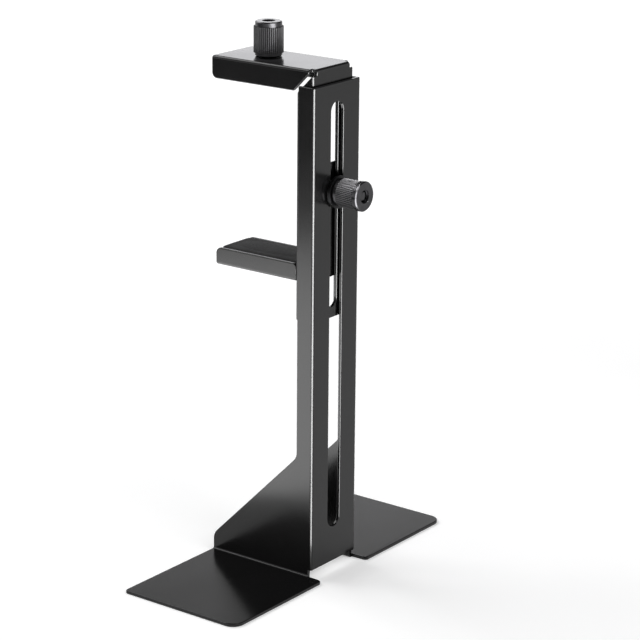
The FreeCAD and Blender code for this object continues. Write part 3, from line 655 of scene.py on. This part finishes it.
def splined_band(name, count, radius, low, high, twist=0.0):
    """Band with flat-topped splines. One corner of each spline is a groove's root."""
    band = upright_cylinder(name, radius, low, high, SPLINE_CORNERS * count)
    step = 2 * math.pi / (SPLINE_CORNERS * count)

    def is_root(corner):
        return round(math.atan2(corner.co.y, corner.co.x) / step) % SPLINE_CORNERS == 0

    pick(band, "VERT", is_root)
    shrink = (radius - SPLINE_DEPTH) / radius
    bpy.ops.transform.resize(value=(shrink, shrink, 1))
    if twist:
        pick(band, "EDGE", edges_across(band))
        bpy.ops.mesh.subdivide(number_cuts=TWIST_CUTS)
        bpy.ops.object.mode_set(mode="OBJECT")
        slant = band.modifiers.new("slant", "SIMPLE_DEFORM")
        slant.deform_method = "TWIST"
        slant.deform_axis = "Z"
        slant.angle = twist
        apply_modifier(band, slant)
    bpy.ops.object.mode_set(mode="OBJECT")
    return band


def build_top_knob():
    """Knob with two plain collars and straight splines, bored from above."""
    low, high = box_of("top_knob")
    length = high.z - low.z
    middle = (low + high) / 2
    knob = upright_cylinder("top_knob_turned", TOP_COLLAR_RADIUS, 0, length, KNOB_SIDES)
    coat(knob, turned_metal("top_knob_turned", middle, (1, 1, 0)))
    chamfer_rim(knob, 0, KNOB_CHAMFER)
    chamfer_rim(knob, length, KNOB_CHAMFER)
    band_top = length - TOP_UPPER_COLLAR
    band = splined_band("top_splines", TOP_SPLINES, TOP_KNURL_RADIUS, TOP_LOWER_COLLAR, band_top)
    coat(band, knurled_metal("top_knob_knurl", middle, (1, 1, 0), TOP_KNURL_RADIUS))
    combine(knob, band, "UNION")
    hole = upright_cylinder("top_hole", TOP_HOLE_RADIUS, length - TOP_HOLE_DEPTH, length + MM, HOLE_SIDES)
    combine(knob, hole, "DIFFERENCE")
    soften(knob, FINE_BREAK)
    seat(knob, (middle.x, middle.y, low.z))
    register(knob, "clamp_turn", "top_knob")


def build_side_knob():
    """Knob with a wide front collar and slanted splines, with a shallow recess in its face."""
    low, high = box_of("side_knob")
    length = high.x - low.x
    middle = (low + high) / 2
    front_start = length - SIDE_FRONT_COLLAR
    core_radius = SIDE_KNURL_RADIUS - 2 * SPLINE_DEPTH
    core_end = length - SIDE_FRONT_COLLAR / 2
    metal = turned_metal("side_knob_turned", middle, (0, 1, 1))
    knob = upright_cylinder("side_knob_turned", core_radius, SIDE_REAR_COLLAR / 2, core_end, KNOB_SIDES)
    rear = upright_cylinder("side_rear", SIDE_REAR_RADIUS, 0, SIDE_REAR_COLLAR, KNOB_SIDES)
    coat(knob, metal)
    coat(rear, metal)
    chamfer_rim(rear, 0, KNOB_CHAMFER)
    combine(knob, rear, "UNION")
    span = front_start - SIDE_REAR_COLLAR
    twist = -span * math.tan(SLANT_ANGLE) / SIDE_KNURL_RADIUS
    band = splined_band(
        "side_splines", SIDE_SPLINES, SIDE_KNURL_RADIUS, SIDE_REAR_COLLAR, front_start, twist)
    coat(band, knurled_metal("side_knob_knurl", middle, (0, 1, 1), SIDE_KNURL_RADIUS))
    combine(knob, band, "UNION")
    front = upright_cylinder("side_front", (high.z - low.z) / 2, front_start, length, KNOB_SIDES)
    coat(front, metal)
    chamfer_rim(front, length, SIDE_FACE_CHAMFER)
    combine(knob, front, "UNION")
    hole = upright_cylinder("side_hole", SIDE_HOLE_RADIUS, length - SIDE_HOLE_DEPTH, length + MM, HOLE_SIDES)
    combine(knob, hole, "DIFFERENCE")
    soften(knob, FINE_BREAK)
    seat(knob, (low.x, middle.y, middle.z), turned=True)
    register(knob, "side_turn", "side_knob")


# Screws

def thread_ridge(name, low, high):
    """Helical ridge between two heights. One triangle is swept round the axis."""
    turns = math.floor((high - low) / THREAD_PITCH) - 1
    deselect_all()
    bpy.ops.mesh.primitive_circle_add(
        vertices=3, radius=THREAD_TOOTH, fill_type="NOTHING", rotation=(math.pi / 2, math.pi / 2, 0),
        location=(THREAD_RADIUS - THREAD_TOOTH, 0, low + THREAD_PITCH / 2))
    ridge = name_new(name)
    bpy.ops.object.transform_apply(location=True, rotation=True, scale=True)
    helix = ridge.modifiers.new("helix", "SCREW")
    helix.axis = "Z"
    helix.screw_offset = THREAD_PITCH
    helix.iterations = turns
    helix.steps = THREAD_SIDES
    helix.render_steps = THREAD_SIDES
    apply_modifier(ridge, helix)
    bpy.ops.object.mode_set(mode="EDIT")
    bpy.ops.mesh.select_all(action="SELECT")
    bpy.ops.mesh.fill_holes(sides=3)
    bpy.ops.mesh.normals_make_consistent(inside=False)
    bpy.ops.object.mode_set(mode="OBJECT")
    return ridge


def build_screw(node, body, turned, with_dog):
    """Threaded screw with a hexagon socket, hanging down from its own origin."""
    low, high = box_of(node)
    length = (high - low)[0 if turned else 2]
    bottom = -length + (DOG_LENGTH if with_dog else 0)
    screw = upright_cylinder(f"{node}_steel", THREAD_ROOT, bottom, 0, SCREW_SIDES)
    if with_dog:
        dog = upright_cylinder("dog_point", DOG_RADIUS, -length, bottom + SCREW_CHAMFER, SCREW_SIDES)
        combine(screw, dog, "UNION")
    socket_radius = SOCKET_WIDTH / 2 / math.cos(math.pi / 6)
    socket = upright_cylinder("socket", socket_radius, -SOCKET_DEPTH, MM, 6)
    combine(screw, socket, "DIFFERENCE")
    soften(screw, FINE_BREAK)
    ridge = thread_ridge("thread", bottom + SCREW_CHAMFER, -SCREW_CHAMFER)
    soften(ridge, FINE_BREAK / 2, 1)
    activate(screw)
    ridge.select_set(True)
    bpy.ops.object.join()
    middle = (low + high) / 2
    seat(screw, (high.x, middle.y, middle.z) if turned else (middle.x, middle.y, high.z), turned)
    coat(screw, screw_metal)
    register(screw, body, node)


# Soft pieces

def build_tray_pad():
    """Foam pad with rounded edges and a slight crown, flat where it lies on the tray."""
    low, high = box_of("tray_pad")
    deselect_all()
    bpy.ops.mesh.primitive_cube_add(size=1, location=(low + high) / 2 - Vector((0, 0, PAD_CROWN / 2)))
    pad = name_new("tray_pad_foam")
    pad.scale = high - low - Vector((0, 0, PAD_CROWN))
    bpy.ops.object.transform_apply(location=True, rotation=True, scale=True)
    pick(pad, "EDGE", lambda edge: max(end.z for end in edge_ends(pad, edge)) > low.z + PAD_ROUND)
    bpy.ops.mesh.bevel(offset=PAD_ROUND, segments=PAD_ROUND_STEPS)
    shoulder = high.z - PAD_CROWN
    pick(pad, "FACE", face_at(shoulder, 1))
    bpy.ops.mesh.inset(thickness=PAD_ROUND)
    bpy.ops.mesh.inset(thickness=2 * PAD_ROUND)
    bpy.ops.transform.translate(value=(0, 0, PAD_CROWN))
    pick(pad, "EDGE", edges_at(pad, low.z))
    bpy.ops.transform.edge_crease(value=1)
    bpy.ops.object.mode_set(mode="OBJECT")
    round_off = pad.modifiers.new("round_off", "SUBSURF")
    round_off.levels = PAD_LEVELS
    round_off.render_levels = PAD_LEVELS
    apply_modifier(pad, round_off)
    bpy.ops.object.shade_smooth_by_angle(angle=SMOOTH_ANGLE)
    coat(pad, pad_foam)
    register(pad, "arm", "tray_pad")


def build_pressure_foot():
    """Rubber foot with a socket for the screw's point and a shallow dish underneath."""
    low, high = box_of("pressure_foot")
    height = high.z - low.z
    radius = (high.x - low.x) / 2
    foot = upright_cylinder("pressure_foot_rubber", radius, 0, height, FOOT_SIDES)
    chamfer_rim(foot, 0, FOOT_CHAMFER)
    chamfer_rim(foot, height, FOOT_CHAMFER)
    pick(foot, "FACE", face_at(height, 1))
    bpy.ops.mesh.inset(thickness=radius - FOOT_CHAMFER - FOOT_BORE)
    bpy.ops.transform.translate(value=(0, 0, -DOG_LENGTH))
    pick(foot, "FACE", face_at(0, -1))
    bpy.ops.mesh.inset(thickness=FOOT_LIP)
    bpy.ops.mesh.inset(thickness=FOOT_LIP / 2)
    bpy.ops.transform.translate(value=(0, 0, FOOT_DISH))
    bpy.ops.object.mode_set(mode="OBJECT")
    soften(foot, FOOT_BREAK, FOOT_BREAK_STEPS, FOOT_SMOOTH)
    middle = (low + high) / 2
    seat(foot, (middle.x, middle.y, low.z))
    coat(foot, foot_rubber)
    register(foot, "clamp_carrier", "pressure_foot")


# Floor and backdrop

def background_rays(tree):
    """One for what the camera sees directly or through glass, and one for what a mirror shows."""
    light_path = tree.nodes.new("ShaderNodeLightPath")
    direct = combine_values(
        tree, "MAXIMUM", light_path.outputs["Is Camera Ray"], light_path.outputs["Is Transmission Ray"])
    return direct, light_path.outputs["Is Glossy Ray"]


def studio_world():
    """White backdrop up to a low height, with a dimmer ceiling over it, and plain fill light."""
    world = bpy.data.worlds.new("studio")
    bpy.context.scene.world = world
    world.use_nodes = True
    tree = world.node_tree
    direct, glossy = background_rays(tree)
    direction = tree.nodes.new("ShaderNodeTexCoord")
    parts = tree.nodes.new("ShaderNodeSeparateXYZ")
    tree.links.new(direction.outputs["Generated"], parts.inputs[0])
    rise = spread(tree, parts.outputs["Z"], 0, 1, (math.sin(BACKDROP_TOP), math.sin(CEILING_START)))
    mirrored = two_tone(tree, rise, WHITE, CEILING_TONE)
    filled = two_tone(tree, glossy, FILL_LIGHT, mirrored)
    colour = two_tone(tree, direct, filled, WHITE)
    tree.links.new(colour, tree.nodes["Background"].inputs["Color"])
    tree.nodes["Background"].inputs["Strength"].default_value = 1


def pale_floor():
    """White floor that keeps the part's soft shadow and is as white as the backdrop far away."""
    material, tree, shader = new_material("pale_floor")
    here = object_pattern(tree)
    distance = off_axis(tree, (0, 0, 0), (1, 1, 0))
    away = spread(tree, distance, *FLOOR_GLOW, FLOOR_GLOW_FROM)
    tone = spread(tree, noise(tree, here, *FLOOR_CLOUD), 0, 1)
    tree.links.new(two_tone(tree, tone, *FLOOR_TONES), shader.inputs["Base Color"])
    shader.inputs["Roughness"].default_value = FLOOR_ROUGHNESS
    shader.inputs["Specular IOR Level"].default_value = 0
    glow = tree.nodes.new("ShaderNodeEmission")
    direct, glossy = background_rays(tree)
    mirrored = combine_values(tree, "MULTIPLY", glossy, FLOOR_MIRRORED)
    seen = combine_values(tree, "MAXIMUM", direct, mirrored)
    tree.links.new(combine_values(tree, "MULTIPLY", seen, away), glow.inputs["Strength"])
    both = tree.nodes.new("ShaderNodeAddShader")
    tree.links.new(shader.outputs["BSDF"], both.inputs[0])
    tree.links.new(glow.outputs["Emission"], both.inputs[1])
    tree.links.new(both.outputs["Shader"], tree.nodes["Material Output"].inputs["Surface"])
    return material


# Lamps

def bearing(azimuth, elevation):
    """Direction by its azimuth, from the front towards +X, and its elevation in degrees."""
    turn = math.radians(azimuth)
    rise = math.radians(elevation)
    return Vector((math.sin(turn) * math.cos(rise), -math.cos(turn) * math.cos(rise), math.sin(rise)))


def area_lamp(name, width, height, brightness, tint=WHITE):
    """Area lamp by its size and its brightness, where one is the white of the backdrop."""
    lamp = bpy.data.lights.new(name, "AREA")
    lamp.shape = "RECTANGLE"
    lamp.size = width
    lamp.size_y = height
    lamp.energy = brightness * math.pi * width * height
    lamp.color = tint
    holder = bpy.data.objects.new(name, lamp)
    holder.visible_camera = False
    bpy.context.scene.collection.objects.link(holder)
    return holder


def softbox(name, azimuth, elevation, distance, width, height, brightness, tint, receivers=None):
    """Area lamp that looks at the middle of the part, and may light only some pieces."""
    holder = area_lamp(name, width, height, brightness, tint)
    towards = bearing(azimuth, elevation)
    holder.location = LIT_MIDDLE + distance * towards
    holder.rotation_euler = (-towards).to_track_quat("-Z", "Y").to_euler()
    if receivers:
        holder.light_linking.receiver_collection = receivers


def low_reflector(name, azimuth, near, far, width, brightness, receivers):
    """Bright sheet on the floor, away from the stand's corner, that only some pieces mirror."""
    holder = area_lamp(name, width, far - near, brightness)
    holder.light_linking.receiver_collection = receivers
    holder.location = STAND_CORNER + (near + far) / 2 * bearing(azimuth, 0)
    holder.rotation_euler = (math.pi, 0, math.radians(azimuth))
    holder.visible_diffuse = False
    holder.visible_transmission = False


def front_fan(receivers):
    """Reflector that widens and brightens with its distance, so that it looks even in a bend."""
    for step in range(FAN_SHEETS):
        near = FAN_START * 2 ** step
        brightness = FAN_BRIGHTNESS + FAN_BRIGHTER * step
        low_reflector(
            f"front_reflector_{step}", FAN_AZIMUTH, near, 2 * near, FAN_WIDTH * near, brightness, receivers)


def black_flag(name, azimuth, near, far, width):
    """Dark cloth on the floor that only shows in reflections."""
    deselect_all()
    bpy.ops.mesh.primitive_plane_add(
        size=1, location=STAND_CORNER + (near + far) / 2 * bearing(azimuth, 0),
        rotation=(0, 0, math.radians(azimuth)))
    flag = name_new(name)
    flag.scale = (width, far - near, 1)
    material, tree, shader = new_material("flag_cloth")
    tone = noise(tree, object_pattern(tree), *CLOTH_CLOUD)
    tree.links.new(two_tone(tree, tone, *CLOTH_TONES), shader.inputs["Base Color"])
    shader.inputs["Roughness"].default_value = CLOTH_ROUGHNESS
    flag.data.materials.append(material)
    flag.visible_camera = False
    flag.visible_diffuse = False
    flag.visible_transmission = False
    flag.visible_shadow = False


def receiving(name, *pieces):
    """Collection of the pieces that a lamp lights."""
    receivers = bpy.data.collections.new(name)
    for piece in pieces:
        receivers.objects.link(bpy.data.objects[piece])
    return receivers


# Camera

def add_camera():
    """Camera whose axes come from its angles, and whose place comes from the fit's offsets."""
    back = bearing(math.degrees(CAMERA_AZIMUTH), math.degrees(CAMERA_ELEVATION))
    level_right = Vector((math.cos(CAMERA_AZIMUTH), math.sin(CAMERA_AZIMUTH), 0))
    level_up = back.cross(level_right)
    right = math.cos(CAMERA_ROLL) * level_right + math.sin(CAMERA_ROLL) * level_up
    up = math.cos(CAMERA_ROLL) * level_up - math.sin(CAMERA_ROLL) * level_right
    web_face = box_of("stand")[1].x - FOOT_FRONT
    aim = Vector((web_face, 0, AIM_HEIGHT))
    lens = bpy.data.cameras.new("camera")
    lens.sensor_width = SENSOR_WIDTH
    lens.lens = FOCAL_PIXELS * SENSOR_WIDTH / IMAGE_WIDTH
    lens.clip_start, lens.clip_end = CAMERA_SIGHT
    camera = bpy.data.objects.new("camera", lens)
    bpy.context.scene.collection.objects.link(camera)
    pose = Matrix((right, up, back)).transposed().to_4x4()
    pose.translation = aim - CAMERA_ACROSS * right - CAMERA_UP * up + CAMERA_DISTANCE * back
    camera.matrix_world = pose
    bpy.context.scene.camera = camera


# The part
sheet_coat = coated_sheet()
screw_metal = steel_finish("blackened_steel", SCREW_TONES, SCREW_ROUGHNESS)
washer_metal = steel_finish("black_washer", WASHER_TONES, WASHER_ROUGHNESS)
nut_metal = steel_finish("zinc_steel", NUT_TONES, NUT_ROUGHNESS)
pad_foam = moulded_rubber("pad_foam", FOAM_SKIN, FOAM_BUMP)
foot_rubber = moulded_rubber("foot_rubber", FOOT_SKIN, FOOT_BUMP)
build_sheet("stand", "stand")
build_sheet("upper_bracket", "bracket")
build_sheet("lower_arm", "arm")
build_steel_piece("plate_nut", "bracket", nut_metal)
build_steel_piece("arm_nut", "arm", nut_metal)
build_steel_piece("side_washer", "side_carrier", washer_metal)
build_top_knob()
build_side_knob()
build_screw("clamp_screw", "clamp_turn", False, True)
build_screw("side_screw", "side_turn", True, False)
build_tray_pad()
build_pressure_foot()

# The studio
studio_world()
deselect_all()
bpy.ops.mesh.primitive_plane_add(size=FLOOR_WIDTH, location=(0, 0, 0))
floor = name_new("floor")
floor.data.materials.append(pale_floor())

sheets = receiving("sheets", "stand_sheet", "upper_bracket_sheet", "lower_arm_sheet")
top_knob = receiving("top_knob", "top_knob_turned")
side_knob = receiving("side_knob", "side_knob_turned")
softbox("left_softbox", *LEFT_SOFTBOX)
softbox("right_softbox", *RIGHT_SOFTBOX)
softbox("back_softbox", *BACK_SOFTBOX)
front_fan(sheets)
low_reflector("left_reflector", *LEFT_REFLECTOR, sheets)
low_reflector("collar_reflector", *COLLAR_REFLECTOR, top_knob)
low_reflector("ring_reflector", *RING_REFLECTOR, side_knob)
softbox("knob_softbox", *KNOB_SOFTBOX, side_knob)
softbox("ring_softbox", *RING_SOFTBOX, side_knob)
black_flag("left_flag", *LEFT_FLAG)
add_camera()

bpy.context.scene.view_settings.view_transform = "Standard"
